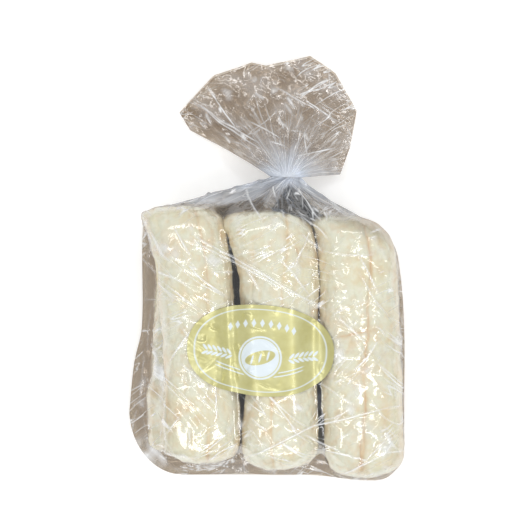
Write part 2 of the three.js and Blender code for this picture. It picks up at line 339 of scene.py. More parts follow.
class Nodes:
    """Short calls for building one material's node tree."""

    def __init__(self, name):
        self.material = bpy.data.materials.new(name)
        self.material.use_nodes = True
        self.tree = self.material.node_tree
        self.tree.nodes.clear()
        self.output = self.tree.nodes.new("ShaderNodeOutputMaterial")

    def add(self, kind, inputs=None, **settings):
        node = self.tree.nodes.new(kind)
        for key, value in settings.items():
            setattr(node, key, value)
        for key, value in (inputs or {}).items():
            self.put(node, key, value)
        return node

    def put(self, node, key, value):
        if isinstance(value, bpy.types.NodeSocket):
            self.tree.links.new(value, node.inputs[key])
        else:
            node.inputs[key].default_value = value

    def number(self, name):
        return self.add("ShaderNodeAttribute", attribute_name=name).outputs["Fac"]

    def math(self, operation, a, b=0.0):
        return self.add("ShaderNodeMath", {0: a, 1: b}, operation=operation).outputs[0]

    def times(self, a, b):
        return self.math("MULTIPLY", a, b)

    def vector(self, operation, a, b):
        return self.add("ShaderNodeVectorMath", {0: a, 1: b}, operation=operation).outputs[0]

    def place(self):
        return self.add("ShaderNodeTexCoord").outputs["Object"]

    def noise(self, per_metre, detail=2.0, roughness=0.5, vector=None):
        vector = vector or self.place()
        inputs = {"Vector": vector, "Scale": per_metre, "Detail": detail, "Roughness": roughness}
        return self.add("ShaderNodeTexNoise", inputs).outputs["Fac"]

    def patches(self, per_metre, detail, roughness, metres, low, high):
        """0 to 1 in soft patches, from a noise that is moved along so that no two are alike."""
        moved = self.vector("ADD", self.place(), (metres,) * 3)
        return self.ramp(self.noise(per_metre, detail, roughness, moved), low, high)

    def streaks(self, bearing, length, width):
        """Noise drawn out along a bearing in plan: streaks of about a length and width in metres."""
        inputs = {"Vector": self.swayed(), "Angle": -math.radians(bearing)}
        turned = self.add("ShaderNodeVectorRotate", inputs, rotation_type="Z_AXIS").outputs[0]
        drawn = self.vector("MULTIPLY", turned, (1 / length, 1 / width, 1 / length))
        return self.noise(1.0, 1, 0.5, drawn)

    def swayed(self):
        """The place, moved to and fro slowly, so that long marks bend and change bearing."""
        inputs = {"Vector": self.place(), "Scale": 6.0, "Detail": 0.0}
        colour = self.add("ShaderNodeTexNoise", inputs).outputs["Color"]
        return self.vector("ADD", self.place(), self.vector("MULTIPLY", colour, (0.07, 0.07, 0.0)))

    def from_neck(self, turns, metres):
        """Noise drawn out in rays from the neck, so many in a turn and so long, and how far the neck is."""
        away = self.vector("SUBTRACT", self.place(), tuple(c * MM for c in NECK))
        split = self.add("ShaderNodeSeparateXYZ", {0: away}).outputs
        bearing = self.times(self.math("ARCTAN2", split[1], split[0]), turns / math.tau)
        reach = self.add("ShaderNodeVectorMath", {0: away}, operation="LENGTH").outputs["Value"]
        inputs = {"X": bearing, "Y": self.math("DIVIDE", reach, metres)}
        return self.noise(1.0, 1, 0.5, self.add("ShaderNodeCombineXYZ", inputs).outputs[0]), reach

    def creases(self, value, width):
        """1 along the lines where a noise crosses its middle, 0 from a width of its value away."""
        off = self.math("ABSOLUTE", self.math("SUBTRACT", value, 0.5))
        return self.ramp(off, 0.0, width, 1.0, 0.0, smooth=True)

    def ramp(self, value, low, high, to_low=0.0, to_high=1.0, smooth=False):
        inputs = {"Value": value, "From Min": low, "From Max": high, "To Min": to_low, "To Max": to_high}
        kind = "SMOOTHSTEP" if smooth else "LINEAR"
        return self.add("ShaderNodeMapRange", inputs, interpolation_type=kind).outputs["Result"]

    def bump(self, strength, distance, height, **more):
        inputs = {"Strength": strength, "Distance": distance, "Height": height, **more}
        return self.add("ShaderNodeBump", inputs).outputs[0]

    def blend(self, amount, a, b):
        inputs = {0: amount, 6: a, 7: b}
        return self.add("ShaderNodeMix", inputs, data_type="RGBA").outputs[2]

    def mix(self, amount, a, b):
        return self.add("ShaderNodeMixShader", {0: amount, 1: a, 2: b}).outputs[0]

    def finish(self, surface):
        self.tree.links.new(surface, self.output.inputs["Surface"])
        return self.material


def srgb(red, green, blue):
    """A colour given as it looks on a screen, 0 to 255, as the renderer takes it."""
    channels = [c / 255 for c in (red, green, blue)]
    linear = [c / 12.92 if c <= 0.04045 else ((c + 0.055) / 1.055) ** 2.4 for c in channels]
    return (*linear, 1.0)


def crust_material():
    """Pale, floury crust, tan in its folds and marks and towards its sides, darker along its splits partly as
    painted shade, and with painted shade where loaves press together.
    """
    n = Nodes("crust")
    cream = srgb(231, 233, 216)
    butter = srgb(232, 229, 203)
    flour = srgb(242, 242, 232)
    tan = srgb(226, 203, 166)
    toast_and_split_shade = srgb(206, 162, 118)
    shade = srgb(26, 27, 30)
    colour = n.blend(n.ramp(n.noise(26, 3, 0.6), 0.42, 0.62), cream, butter)
    colour = n.blend(n.times(n.ramp(n.noise(160, 4, 0.65), 0.48, 0.70), 0.65), colour, flour)
    # The nook colour is painted shade where loaves press together.
    for name, towards in (("fold", tan), ("toast_and_split_shade", toast_and_split_shade), ("painted_nook_shade", shade)):
        colour = n.blend(n.number(name), colour, towards)
    grain = n.math("ADD", n.noise(420, 4, 0.6), n.times(n.noise(1400, 2, 0.6), 0.5))
    inputs = {
        "Base Color": colour, "Roughness": n.ramp(n.noise(90, 2), 0.3, 0.7, 0.62, 0.85),
        "Normal": n.bump(0.7, 0.0006, grain), "Specular IOR Level": 0.2,
    }
    return n.finish(n.add("ShaderNodeBsdfPrincipled", inputs).outputs[0])


def film_material():
    """Clear film: smoky where no bread backs it, darkened by painted shade in places, milky where it is
    gathered, with painted sheen and glare, and painted white glints along its creases.
    """
    n = Nodes("film")
    tint = n.blend(n.number("smoke"), srgb(252, 251, 249), (0.52, 0.445, 0.358, 1))
    # Painted shade: the tint turns nearly black, a little blue, where the shade number is high.
    tint = n.blend(n.number("shade"), tint, (0.078, 0.098, 0.128, 1))
    clear = n.add("ShaderNodeBsdfTransparent", {"Color": tint}).outputs[0]
    # Milky white where the film's layers crowd, its blue cast a painted reflection of cool light.
    haze = n.add("ShaderNodeBsdfDiffuse", {"Color": srgb(228, 237, 251)}).outputs[0]
    # Plain white for the painted glare and glints.
    white = n.add("ShaderNodeBsdfDiffuse", {"Color": (0.96, 0.98, 1.0, 1)}).outputs[0]

    # Fine crinkle both ways, a veil of painted sheen over patches of it, and small patches of painted glare.
    crinkle = n.math(
        "ADD",
        n.times(n.streaks(-36, 0.030, 0.0022), n.ramp(n.noise(26, 2), 0.44, 0.60)),
        n.times(n.streaks(48, 0.022, 0.0020), n.patches(31, 2, 0.5, 3, 0.48, 0.64)),
    )
    painted_sheen_veil = n.times(n.ramp(crinkle, 0.25, 0.75), n.patches(17, 3, 0.6, 7, 0.50, 0.68))
    rays, reach = n.from_neck(46, 0.11)
    past_gather = n.ramp(reach, 0.045, 0.075)
    glare = n.times(n.patches(30, 2, 0.6, 13, 0.60, 0.76), past_gather)
    glare = n.times(glare, n.ramp(crinkle, 0.2, 0.6, 0.45, 0.85))

    # Long and short creases, in patches, rays from the neck, and the folds that the mesh has, all painted as
    # white glints.
    long_glint_lines = n.times(n.creases(n.streaks(-32, 0.150, 0.012), 0.020), n.ramp(n.noise(13, 1), 0.46, 0.66))
    short_glint_lines = n.creases(n.streaks(30, 0.070, 0.009), 0.022)
    short_glint_lines = n.times(short_glint_lines, n.patches(19, 1, 0.5, 5, 0.50, 0.60))
    lines = n.times(n.math("MAXIMUM", long_glint_lines, short_glint_lines), past_gather)
    ray_glint_lines = n.times(n.creases(rays, 0.03), n.ramp(reach, 0.02, 0.10, 0.7, 0.0))
    lines = n.times(n.math("MAXIMUM", lines, ray_glint_lines), 0.7)
    lines = n.math("MAXIMUM", lines, n.number("crease_glint"))

    # Milk and painted sheen.
    cloud = n.math("ADD", n.number("milk"), n.times(painted_sheen_veil, 0.20))
    body = n.mix(n.math("MINIMUM", cloud, 1.0), clear, haze)
    body = n.mix(lines, n.mix(glare, body, white), white)
    facing = n.add("ShaderNodeFresnel", {"IOR": 1.5}).outputs[0]
    shine = n.math("MINIMUM", n.times(facing, 2.0), 0.26)
    bump = n.bump(1.0, 0.0004, lines, Normal=n.bump(0.38, 0.0006, crinkle))
    inputs = {"Color": (1, 1, 1, 1), "Roughness": 0.09, "Normal": bump}
    gloss = n.add("ShaderNodeBsdfAnisotropic", inputs).outputs[0]
    return n.finish(n.mix(shine, body, gloss))


def label_material():
    """Satin pale gold print on film, with a pale blue-white design."""
    n = Nodes("label")
    gold = n.blend(n.ramp(n.noise(45, 3, 0.6), 0.35, 0.65), srgb(208, 205, 150), srgb(194, 189, 128))
    inputs = {
        "Base Color": n.blend(n.number("print"), gold, srgb(218, 228, 234)),
        "Metallic": n.times(n.math("SUBTRACT", 1.0, n.number("print")), 0.35),
        "Roughness": 0.34, "Normal": n.bump(0.2, 0.0003, n.noise(500, 3)),
        "Coat Weight": 0.35, "Coat Roughness": 0.12,
    }
    return n.finish(n.add("ShaderNodeBsdfPrincipled", inputs).outputs[0])


def floor_material():
    """Matt white that gives off a little light, so that it stays white round the pack."""
    n = Nodes("floor")
    inputs = {
        "Base Color": (0.90, 0.90, 0.895, 1), "Roughness": 0.9,
        "Emission Color": (1, 1, 1, 1), "Emission Strength": 0.3,
    }
    return n.finish(n.add("ShaderNodeBsdfPrincipled", inputs).outputs[0])


# ---- The loaves ----

TOP_BASE_Z = 55.5
LOWER_BASE_Z = 0.8
LOAF_END_ROUNDING = 27
BELLY = 0.40  # level of a loaf's widest place, as a share of its height
TIP = 0.02  # the first and last rings stay this far inside a loaf's tips
GROOVE_HALF_WIDTH = 2.4
LIP_OFFSET = 7.5  # the split's two lips stand this far from its groove
LIP_HALF_WIDTH = 5.5
LIP_HEIGHT = 1.2
LOBE_DROP = 1.5  # the crust is this much lower at the right of the split
CRACK_HALF_WIDTH = 1.1
CRACK_DEPTH = 1.3


@dataclass
class Loaf:
    """Sizes of one loaf, which lies along Y between its two ends, the sealed end first."""

    name: str
    base_z: float
    ends: tuple
    start: float  # x of its middle line at the sealed end
    lean: float  # how far that line leans over evenly
    half_widths: tuple  # at the sealed end, half way and at the neck end
    corners: tuple  # how far the sealed end, and the neck end's left and right, take to round off in plan
    height: float
    split: tuple  # the split's offsets from the middle line, at the same three places
    split_depth: float
    beside: tuple  # the sides where a neighbour stands, -1 for the left and 1 for the right
    seed: int
    hook: float = 0  # how far the middle line hooks on its way to the neck, later for a higher power
    hook_power: float = 2
    cracks: tuple = ()  # each has a place, a bearing and a length
    spot: tuple = ()  # place of a browned mark
    lobe: tuple = ()  # where the loaf bulges out


LOAVES = [
    Loaf(
        "loaf_top_left", TOP_BASE_Z, ends=(-193, 59), start=-61, lean=-9, hook=-17, hook_power=5,
        half_widths=(38, 36.6, 40), corners=(26, 13, 13), height=55, split=(5, 11, 16), split_depth=6.0,
        beside=(1,), seed=21,
    ),
    Loaf(
        "loaf_top_middle", TOP_BASE_Z, ends=(-199, 55), start=13.2, lean=2, hook=-19,
        hook_power=6, half_widths=(38.6, 36.5, 46.5), corners=(24, 18, 28), height=56, split=(-6, -4, 22),
        split_depth=2.8, cracks=((27, 20, -55, 16),), beside=(-1, 1), seed=32,
    ),
    Loaf(
        "loaf_top_right", TOP_BASE_Z, ends=(-207, 50.5), start=96.3, lean=-8, hook=-14,
        hook_power=18, half_widths=(38, 40, 36.5), corners=(24, 12, 48), height=55, split=(-7, 4, 14),
        split_depth=5.4, cracks=((66, -69, 12, 38), (90, -165, -87, 35)), beside=(-1,), seed=43,
    ),
    Loaf(
        "loaf_low_left", LOWER_BASE_Z, ends=(-192, 50), start=-78, lean=10,
        half_widths=(44, 43, 42), corners=(16, 20, 20), height=55, split=(-28, -28, -15), split_depth=4.0,
        beside=(1,), seed=54, spot=(-109, -126, 42), lobe=(-121, -136, 30),
    ),
    Loaf(
        "loaf_low_middle", LOWER_BASE_Z, ends=(-200, 48), start=18, lean=-6,
        half_widths=(44, 44, 44), corners=(20, 20, 20), height=54, split=(-3, 4, 0), split_depth=3.5,
        beside=(-1, 1), seed=65,
    ),
    Loaf(
        "loaf_low_right", LOWER_BASE_Z, ends=(-203, 42), start=97, lean=-8,
        half_widths=(38, 38, 37), corners=(20, 22, 22), height=54, split=(3, 0, -4), split_depth=3.5,
        beside=(-1,), seed=76,
    ),
]


def loaf_section(count):
    """Points evenly round a loaf's section of unit half width and unit height: domed top, flat base."""
    proportion = 0.72  # of height to half width, while the points are spaced
    turn = np.linspace(0, 2 * np.pi, 1441)
    cos, sin = np.cos(turn), np.sin(turn)
    upper = sin >= 0
    power = np.where(upper, 2.35, 3.6)
    across = np.sign(cos) * np.abs(cos) ** (2 / power)
    up = np.where(upper, 0.56, 0.42) * np.sign(sin) * np.abs(sin) ** (2 / power)
    even = evenly(np.stack([-across, up / proportion], axis=1), count)[:-1]
    return even[:, 0], even[:, 1] * proportion + 0.43


def end_fullness(place, ends, rounding):
    """How full a loaf is at a place: 0 at its tips, 1 once each end's rounding is done."""
    return rounded(np.minimum((place - ends[0]) / rounding[0], (ends[1] - place) / rounding[1]), 2.5)


def loaf_form(loaf):
    """A loaf's smooth form as a grid of rings, and the shares that its marks are placed by."""
    rounding = (LOAF_END_ROUNDING, LOAF_END_ROUNDING)
    low, high = loaf.ends
    dense = closer_at_ends(low, high, 2001)
    rise = end_fullness(dense, loaf.ends, rounding) * loaf.height * 0.8
    step = CRUST_STEP if loaf.base_z == TOP_BASE_Z else LOWER_CRUST_STEP
    stations = int((high - low + loaf.height) / step)
    place = evenly(np.stack([dense, rise], axis=1), stations)[1:-1, :1]
    place = np.clip(place, low + TIP, high - TIP)
    share = (place - low) / (high - low)
    full = end_fullness(place, loaf.ends, rounding)
    sealed_corner, *neck_corners = loaf.corners
    plan_full = [end_fullness(place, loaf.ends, (sealed_corner, corner)) for corner in neck_corners]

    half_width = three_point(share, *loaf.half_widths)
    side, level = loaf_section(int(LOAF_GIRTH_SHARE * 2 * half_width.mean() / step))
    across = side * half_width * np.where(side < 0, *plan_full)
    x = loaf.start + loaf.lean * share + loaf.hook * share ** loaf.hook_power + across
    z = loaf.base_z + loaf.height * (BELLY + (level - BELLY) * full)
    grid = np.stack([x, np.broadcast_to(place, x.shape), z], axis=-1)
    off_split = across - three_point(share, *loaf.split)
    return grid, side, level, off_split, full, plan_full


def loaf_skin(loaf, grid, side, level, off_split, full):
    """How far a loaf's skin moves out, how tan and how toasted it is, and where its split is darkened partly
    as painted shade.
    """
    noise, wrinkling, lining, roughening, lumping, tanning = [Noise(loaf.seed + k) for k in range(6)]
    upper = ease(level, 0.42, 0.75)
    middle = upper * ease(full, 0.15, 0.75)
    off_split = off_split + noise(grid / 9 + 40) * 1.3 + noise(grid / 48 + 8) * 3.5
    split_share = 0.55 + 0.45 * noise(grid / 45 + 12)
    groove = bell(off_split, GROOVE_HALF_WIDTH, 1.2) * loaf.split_depth * split_share
    lips = bell(np.abs(off_split) - LIP_OFFSET, LIP_HALF_WIDTH) * LIP_HEIGHT
    relief = middle * (lips - groove - ease(off_split, 0, 9) * LOBE_DROP)

    stretched = grid * [1.0, 0.62, 1.0]
    wrinkles = ridges(wrinkling, stretched, 15)
    fine_lines = ridges(lining, stretched * [1, 1.3, 1], 7.0)
    patchy = ease(noise(grid / 34 + 9), -0.15, 0.45)
    rough = octaves(roughening, grid, 7.5, 3, 0.6)
    relief += octaves(noise, grid, 44, 2) * 1.5 + octaves(lumping, grid, 15, 2) * 0.95 + rough * 0.62
    relief -= wrinkles ** 4 * (0.2 + 1.1 * patchy)
    relief -= fine_lines ** 3 * 0.45 * (1 - 0.6 * patchy)

    # Tan along the split: partly the crust's own colour, partly painted shade in the groove.
    fold = middle * bell(off_split, 2.0, 1.6) * split_share * 0.95
    fold = np.maximum(fold, wrinkles ** 6 * (0.05 + 0.30 * patchy))
    fold = np.maximum(fold, fine_lines ** 6 * 0.15)
    fold = np.maximum(fold, 0.30 * ease(rough, 0.05, -0.7))
    fold += 0.30 * ease(octaves(noise, grid + 71, 34, 2), 0.1, 0.75)
    fold += 0.28 * ease(octaves(tanning, grid, 11, 2), 0.0, 0.6)
    fold += 0.30 * ease(np.abs(side), 0.80, 0.98) * (0.7 + 0.6 * patchy)

    # Toast along the split's core: partly browning, partly painted shade in the groove. Cracks and the spot
    # are browned marks.
    toast_and_split_shade = middle * bell(off_split, 0.9, 1.5) * (loaf.split_depth - 2) * 0.18
    toast_and_split_shade *= ease(noise(grid / 38 + 33), -0.35, 0.3) * (1 - 0.6 * ease(grid[..., 1], 15, 45))
    for crack in loaf.cracks:
        moved = grid[..., :2] + noise(grid / 6 + 55)[..., None] * 1.2
        away, along = distance_to_line(moved, line_from(*crack))
        mark = bell(away, CRACK_HALF_WIDTH, 1.5) * np.sin(np.pi * np.clip(along, 0.04, 0.96)) ** 0.4 * upper
        relief -= mark * CRACK_DEPTH
        toast_and_split_shade = np.maximum(toast_and_split_shade, np.maximum(mark * 0.7, bell(away, 7) * 0.10 * upper))
    if loaf.spot:
        toast_and_split_shade = np.maximum(toast_and_split_shade, bell(np.linalg.norm(grid - loaf.spot, axis=-1), 6) * 0.5)
    if loaf.lobe:
        relief += bell(np.linalg.norm((grid - loaf.lobe) / [1, 1.4, 1], axis=-1), 11) * 3.4
    return relief, fold, toast_and_split_shade


def loaf_painted_nook_shade(loaf, place, side, level, plan_full):
    """Painted shade on a loaf by its neighbours: low down in the upper layer, on its shoulders in the lower.
    """
    painted_nook_shade = np.zeros(place.shape)
    for at in loaf.beside:
        if loaf.base_z == TOP_BASE_Z:
            flank = ease(at * side, 0.982, 1.0) * ease(level, 0.56, 0.46)
            along = 0.95 * ease(plan_full[at > 0], 0.6, 1.0)
        else:
            flank = ease(at * side, 0.35, 0.6) * ease(level, 0.25, 0.5)
            along = ease(np.minimum(place - loaf.ends[0], loaf.ends[1] - place), 6, 26)
            along = along * (1 - 0.3 * ease(place, -120, -180))
        painted_nook_shade = np.maximum(painted_nook_shade, flank * along)
    return painted_nook_shade * (1 - 0.7 * ease(place, 5, 40))


def make_loaf(loaf, material):
    """A lofted dome with blunt ends, lumpy, wrinkled, and split along its top."""
    grid, side, level, off_split, full, plan_full = loaf_form(loaf)
    relief, fold, toast_and_split_shade = loaf_skin(loaf, grid, side, level, off_split, full)
    painted_nook_shade = loaf_painted_nook_shade(loaf, grid[..., 1], side, level, plan_full)
    grid = grid + grid_normals(grid) * relief[..., None]
    grid[..., 2] = np.maximum(grid[..., 2], loaf.base_z)

    # Close both ends with one point each.
    rows, columns = relief.shape
    points = np.concatenate([grid.reshape(-1, 3), [grid[0].mean(axis=0), grid[-1].mean(axis=0)]])
    faces = grid_faces(rows, columns, around=True).tolist()
    last = (rows - 1) * columns
    for i in range(columns):
        after = (i + 1) % columns
        faces.append((len(points) - 2, after, i))
        faces.append((len(points) - 1, last + i, last + after))
    numbers = {"fold": fold, "toast_and_split_shade": toast_and_split_shade, "painted_nook_shade": painted_nook_shade}
    numbers = {key: np.append(np.clip(values, 0, 1), [0, 0]) for key, values in numbers.items()}
    mesh_object(loaf.name, points, faces, material, numbers)
    return points, faces


# ---- The film: the hull that the frame gives ----

left_side = through(LEFT_EDGE)
right_side = through(RIGHT_EDGE)


def edges(y):
    """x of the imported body's left and right edges, its sealed corners rounded off."""
    left_cut, right_cut = (
        width * (1 - rounded((y - SEAL_Y) / length, 2)) for length, width in (LEFT_CORNER, RIGHT_CORNER)
    )
    return left_side(y) + left_cut, right_side(y) - right_cut


def skirts(y):
    """How far the two sheets run on, nearly flat, past the bread at the left and right."""
    end = ease(y, SKIRT_END_FROM, SKIRT_END_TO)
    return lerp(LEFT_SKIRT, LEAST_SKIRT, end), lerp(RIGHT_SKIRT, LEAST_SKIRT, end)


def past_skirts(x, y):
    """0 at the left and right edges, growing to 1 where the skirts end and the bread begins."""
    left, right = edges(y)
    left_skirt, right_skirt = skirts(y)
    return np.clip(np.minimum((x - left) / left_skirt, (right - x) / right_skirt), 0, 1)


def past_sealed_skirt(y):
    return np.clip((y - SEAL_Y) / SEAL_SKIRT, 0, 1)


def end_wall(y):
    """How far the upper film has risen at y: 0 on the sealed skirt, 1 over the loaves."""
    return rounded((y - SEAL_Y - SEAL_SKIRT) / SEAL_ROUNDING, SEAL_ROUNDNESS)


def gather(y):
    """0 over the loaves and 1 at the neck."""
    return ease(y, SHOULDER_Y, NECK[1]) ** GATHER_EASE


def relief_shown(y):
    """0 at the sealed edge, 1 from where gullies, waist and step back have their full depth."""
    return ease(y, SEAL_Y + RELIEF_START, SEAL_Y + RELIEF_FULL)


def gully_share(x, y):
    """1 on the line of a gully between loaves, 0 on the loaves beside it."""
    along = np.clip((y - SEAL_Y) / (SHOULDER_Y - SEAL_Y), 0, 1)
    return sum(bell(x - lerp(*gully, along), GULLY_HALF_WIDTH) for gully in GULLIES)


def gully_depth(x, y):
    return GULLY_DEPTH * relief_shown(y) * ease(y, NECK[1] - 15, SHOULDER_Y + 15) * gully_share(x, y)


def end_shift(x, y, z):
    """How far the upper film moves along the pack near the sealed end: back between two loaves."""
    risen = ease(z, SEAM_Z, SEAM_Z + SKIRT_RISE)
    near = ease(y, SEAL_Y + END_REACH, SEAL_Y + SEAL_SKIRT)
    slant = END_SLANT * np.clip(-x / END_SLANT_HALF_WIDTH, -1, 1)
    return risen * near * (END_DENT * gully_share(x, y) + slant)


def draw_in(off, y, z):
    """How far the sides of the pack come in: between its layers, and at the left over the lower layer."""
    waist = WAIST_DEPTH * np.abs(off) ** WAIST_SIDE_POWER * bell(z - LOAF_HEIGHT, WAIST_HALF_HEIGHT)
    waist = waist * ease(y, SHOULDER_Y + 30, SHOULDER_Y - 10)
    back = STEP_BACK * np.abs(off) ** STEP_BACK_POWER * ease(z, STEP_BACK_FROM, STEP_BACK_TO)
    back = back * ease(y, SKIRT_END_TO, SKIRT_END_FROM)
    return relief_shown(y) * (waist + np.where(off < 0, back, 0))


def upper_half(x, y, off, seam, gathered):
    """The upper half of the hull's section at y, its sides drawn in."""
    left, right = edges(y)
    left_skirt, right_skirt = skirts(y)
    wall_left, wall_right = left + left_skirt, right - right_skirt
    wall_off = np.clip((2 * x - wall_left - wall_right) / (wall_right - wall_left), -1, 1)
    power = lerp(PACK_SQUARENESS, 2, gathered)
    top = lerp(lerp(seam, PACK_TOP, end_wall(y)), NECK[2] + NECK_HALF_HEIGHT, gathered)
    body = seam + (top - seam - gully_depth(x, y)) * rounded(1 - np.abs(wall_off), power)
    skirt = SKIRT_RISE * past_skirts(x, y) * past_sealed_skirt(y) * (1 - gathered)
    z = np.maximum(body, seam + skirt + SEAM_THICKNESS / 2 * (1 - np.abs(off) ** SEAM_EDGE_POWER))
    return x - np.sign(off) * draw_in(wall_off, y, z), z


def lower_half(x, y, off, seam, gathered):
    """The lower half of the hull's section at y, flat where it rests."""
    power = lerp(UNDER_SQUARENESS, 2, gathered)
    lowest = seam - SEAM_THICKNESS / 2 * (1 - gathered)
    bottom = lerp(lowest, -FLAT_CUT, rounded((y - SEAL_Y) / UNDER_ROUNDING, 2))
    bottom = lerp(bottom, NECK[2] - NECK_HALF_HEIGHT, gathered)
    return x, np.maximum(seam + (bottom - seam) * rounded(1 - np.abs(off), power), 0)


def half_ring(y, half, count):
    """The upper or lower half of the hull's section at y, evenly spaced from left to right."""
    left, right = edges(y)
    gathered = gather(y)
    seam = lerp(SEAM_Z, NECK[2], gathered)
    off = closer_at_ends(-1, 1, 401)
    x, z = half((left + right) / 2 + (right - left) / 2 * off, y, off, seam, gathered)
    points = evenly(np.stack([x, np.full_like(x, y), z], axis=1), count)
    if half is upper_half:
        points[:, 1] += end_shift(*points.T)
    fade = ease(y, SEAL_Y + SEAL_DROP_REACH, SEAL_Y)
    points[:, 1] -= SEAL_DROP * fade * ease(points[:, 0], SEAL_DROP_FROM, SEAL_DROP_TO)
    return points


def hull():
    """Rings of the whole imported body, where they are along it, and how many columns its upper half has."""
    y = closer_at_ends(SEAL_Y, NECK[1], 1201)
    rise = end_wall(y) * (1 - 0.6 * gather(y)) * (PACK_TOP - SEAM_Z)
    stations = evenly(np.stack([y, rise], axis=1), int(PACK_RUN / FILM_STEP))[:, 0]
    upper_count, under_count = int(HALF_GIRTH / FILM_STEP), int(HALF_GIRTH / UNDER_STEP)
    rings = []
    for station in stations:
        under = half_ring(station, lower_half, under_count)[::-1]
        rings.append(np.concatenate([half_ring(station, upper_half, upper_count), under[1:-1]]))
    return np.stack(rings), stations, upper_count + 1


# ---- The film: creases ----

SHARP_SIDE = 0.9  # how far a fold's other side runs down
# A fold's white crest is a painted glint.
FULL_CREASE_GLINT = 1.6  # height of a fold whose crest is fully white

# A fold: where it starts, its bearing and length, its height, how far its easy side runs down, any bend.
TOP_FOLDS = [
    (-74, 33, -30, 152, 1.9, 2.6),  # a long pair from the left shoulder across the middle loaf
    (-76, 29, -29, 118, 1.3, 2.0),
    (-96, -208.5, 9, 76, 2.0, 3.2),  # a long sweep from the left sealed corner, below the label
    (-92, -211.5, 10.5, 74, 1.8, 2.0),
    (-26, -188, 25, 160, 2.4, 3.2, -11),
    (-114, 35, -50, 42, 1.3, 3.2),  # down from the left shoulder
    (-113, 8, -37, 49, 1.4, 3.0),
    (86, 18, -63, 49, 1.4, 3.0),  # down from the right shoulder
    (68, -48, -43, 38, 1.5, 3.4),
    (-23, 80, -62, 41, 2.0, 3.2),  # from the neck over the shoulders
    (30, 78, -55, 39, 1.8, 3.0),
    (56, 76, -38, 36, 1.5, 3.0),
    (-49, -112, -87, 35, 1.8, 6.5),  # a bright fold in the left gully
    (70, -202, 25, 47, 1.4, 3.0),
]
MOUTH_FOLDS = [
    (-73, 168, -33, 80, 2.4, 4.0),  # the folded left side of the fan
    (-76, 170, -36, 89, 1.8, 3.0),
    (-62, 186, -55, 56, 1.6, 2.6),
    (-18, 147, -27, 37, 2.2, 7.0),
    (10, 182, -27, 54, 1.6, 3.0),
    (34, 174, -33, 48, 1.9, 6.0),  # the right side
    (38, 137, -85, 25, 1.6, 3.0),
    (30, 110, 17, 42, 1.6, 3.6),
]

# Folds made up at random, so many in a plan box: the ranges of their lengths, slopes and run-downs, their
# bearing and its spread, and how white the whitest crest's painted glint is.
WHOLE_TOP = ((-134, -212), (134, 60))
LEFT_SKIRT_BOX = ((-142, -206), (-122, 40))
RIGHT_SKIRT_BOX = ((126, -212), (142, 20))
SEALED_SKIRT_BOX = ((-10, -216), (120, -200))
FAN = ((-86, 110), (88, 212))
TOP_SCATTER = [
    (60, WHOLE_TOP, (16, 70), (0.20, 0.34), (2.0, 4.0), -36, 20, 1),
    (46, WHOLE_TOP, (10, 40), (0.20, 0.34), (2.0, 4.0), 35, 26, 1),
    (30, WHOLE_TOP, (5, 14), (0.20, 0.34), (2.5, 6.0), -10, 60, 1),
    (38, ((8, 44), (58, 78)), (4, 14), (0.3, 0.6), (1.5, 3.5), 108, 24, 1.5),
    (40, WHOLE_TOP, (12, 36), (0.08, 0.24), (4.0, 9.0), -30, 60, 0),
    (44, ((-134, -212), (134, 36)), (9, 24), (0.20, 0.30), (5, 10), -20, 50, 0),
    (26, ((52, -206), (134, 36)), (9, 24), (0.20, 0.30), (4, 9), -50, 50, 0.8),
]
SKIRT_SCATTER = [
    (16, LEFT_SKIRT_BOX, (14, 60), (0.3, 0.6), (1.0, 2.0), 88, 7, 1),
    (5, LEFT_SKIRT_BOX, (5, 12), (0.3, 0.5), (1.0, 2.5), 20, 40, 1),
    (14, RIGHT_SKIRT_BOX, (14, 60), (0.3, 0.6), (1.0, 2.0), 92, 8, 1),
    (4, SEALED_SKIRT_BOX, (14, 60), (0.3, 0.6), (1.0, 2.0), 3, 6, 1),
    (5, SEALED_SKIRT_BOX, (5, 14), (0.3, 0.5), (1.0, 2.5), 60, 30, 1),
]
WALL_SCATTER = [(110, ((-360, 0), (240, 110)), (20, 60), (0.25, 0.5), (2, 6), 80, 35, 1)]
FAN_SCATTER = [
    (30, FAN, (6, 26), (0.20, 0.36), (2.0, 4.5), -50, 30, 1),
    (12, FAN, (5, 18), (0.20, 0.34), (2, 5), 40, 40, 0.5),
]
FAN_FACETS = [(36, FAN, (12, 36), (0.10, 0.26), (4, 10), -55, 28, 0)]
FAN_GLINTS = [(20, ((-64, 106), (72, 184)), (6, 16), (0.25, 0.35), (3, 6), -54, 16, 1)]


def as_folds(rows):
    folds = []
    for x, y, bearing, length, height, run, *bend in rows:
        folds.append((line_from(x, y, bearing, length, *bend), height, run, min(height / FULL_CREASE_GLINT, 1)))
    return folds


def random_fold(draw, x, y, bearing, bend, lengths, slopes, run_downs, whitest_glint, rarity):
    """A fold of random slope from a place: the higher the rarity, the fewer of the crests get a white painted
    glint.
    """
    line = line_from(x, y, bearing, draw.uniform(*lengths), draw.normal() * bend)
    run_down = draw.uniform(*run_downs)
    line = line if draw.random() < 0.5 else line[::-1]
    return line, run_down * draw.uniform(*slopes), run_down, whitest_glint * draw.random() ** rarity


def scattered_folds(draw, rows):
    """Folds at random places, mostly at one bearing in each row's plan box."""
    folds = []
    for count, region, lengths, slopes, run_downs, lean, spread, whitest_glint in rows:
        (x0, y0), (x1, y1) = region
        for _ in range(count):
            x, y = draw.uniform(x0, x1), draw.uniform(y0, y1)
            bearing = lean + draw.normal() * spread
            folds.append(random_fold(draw, x, y, bearing, 7, lengths, slopes, run_downs, whitest_glint, 2))
    return folds


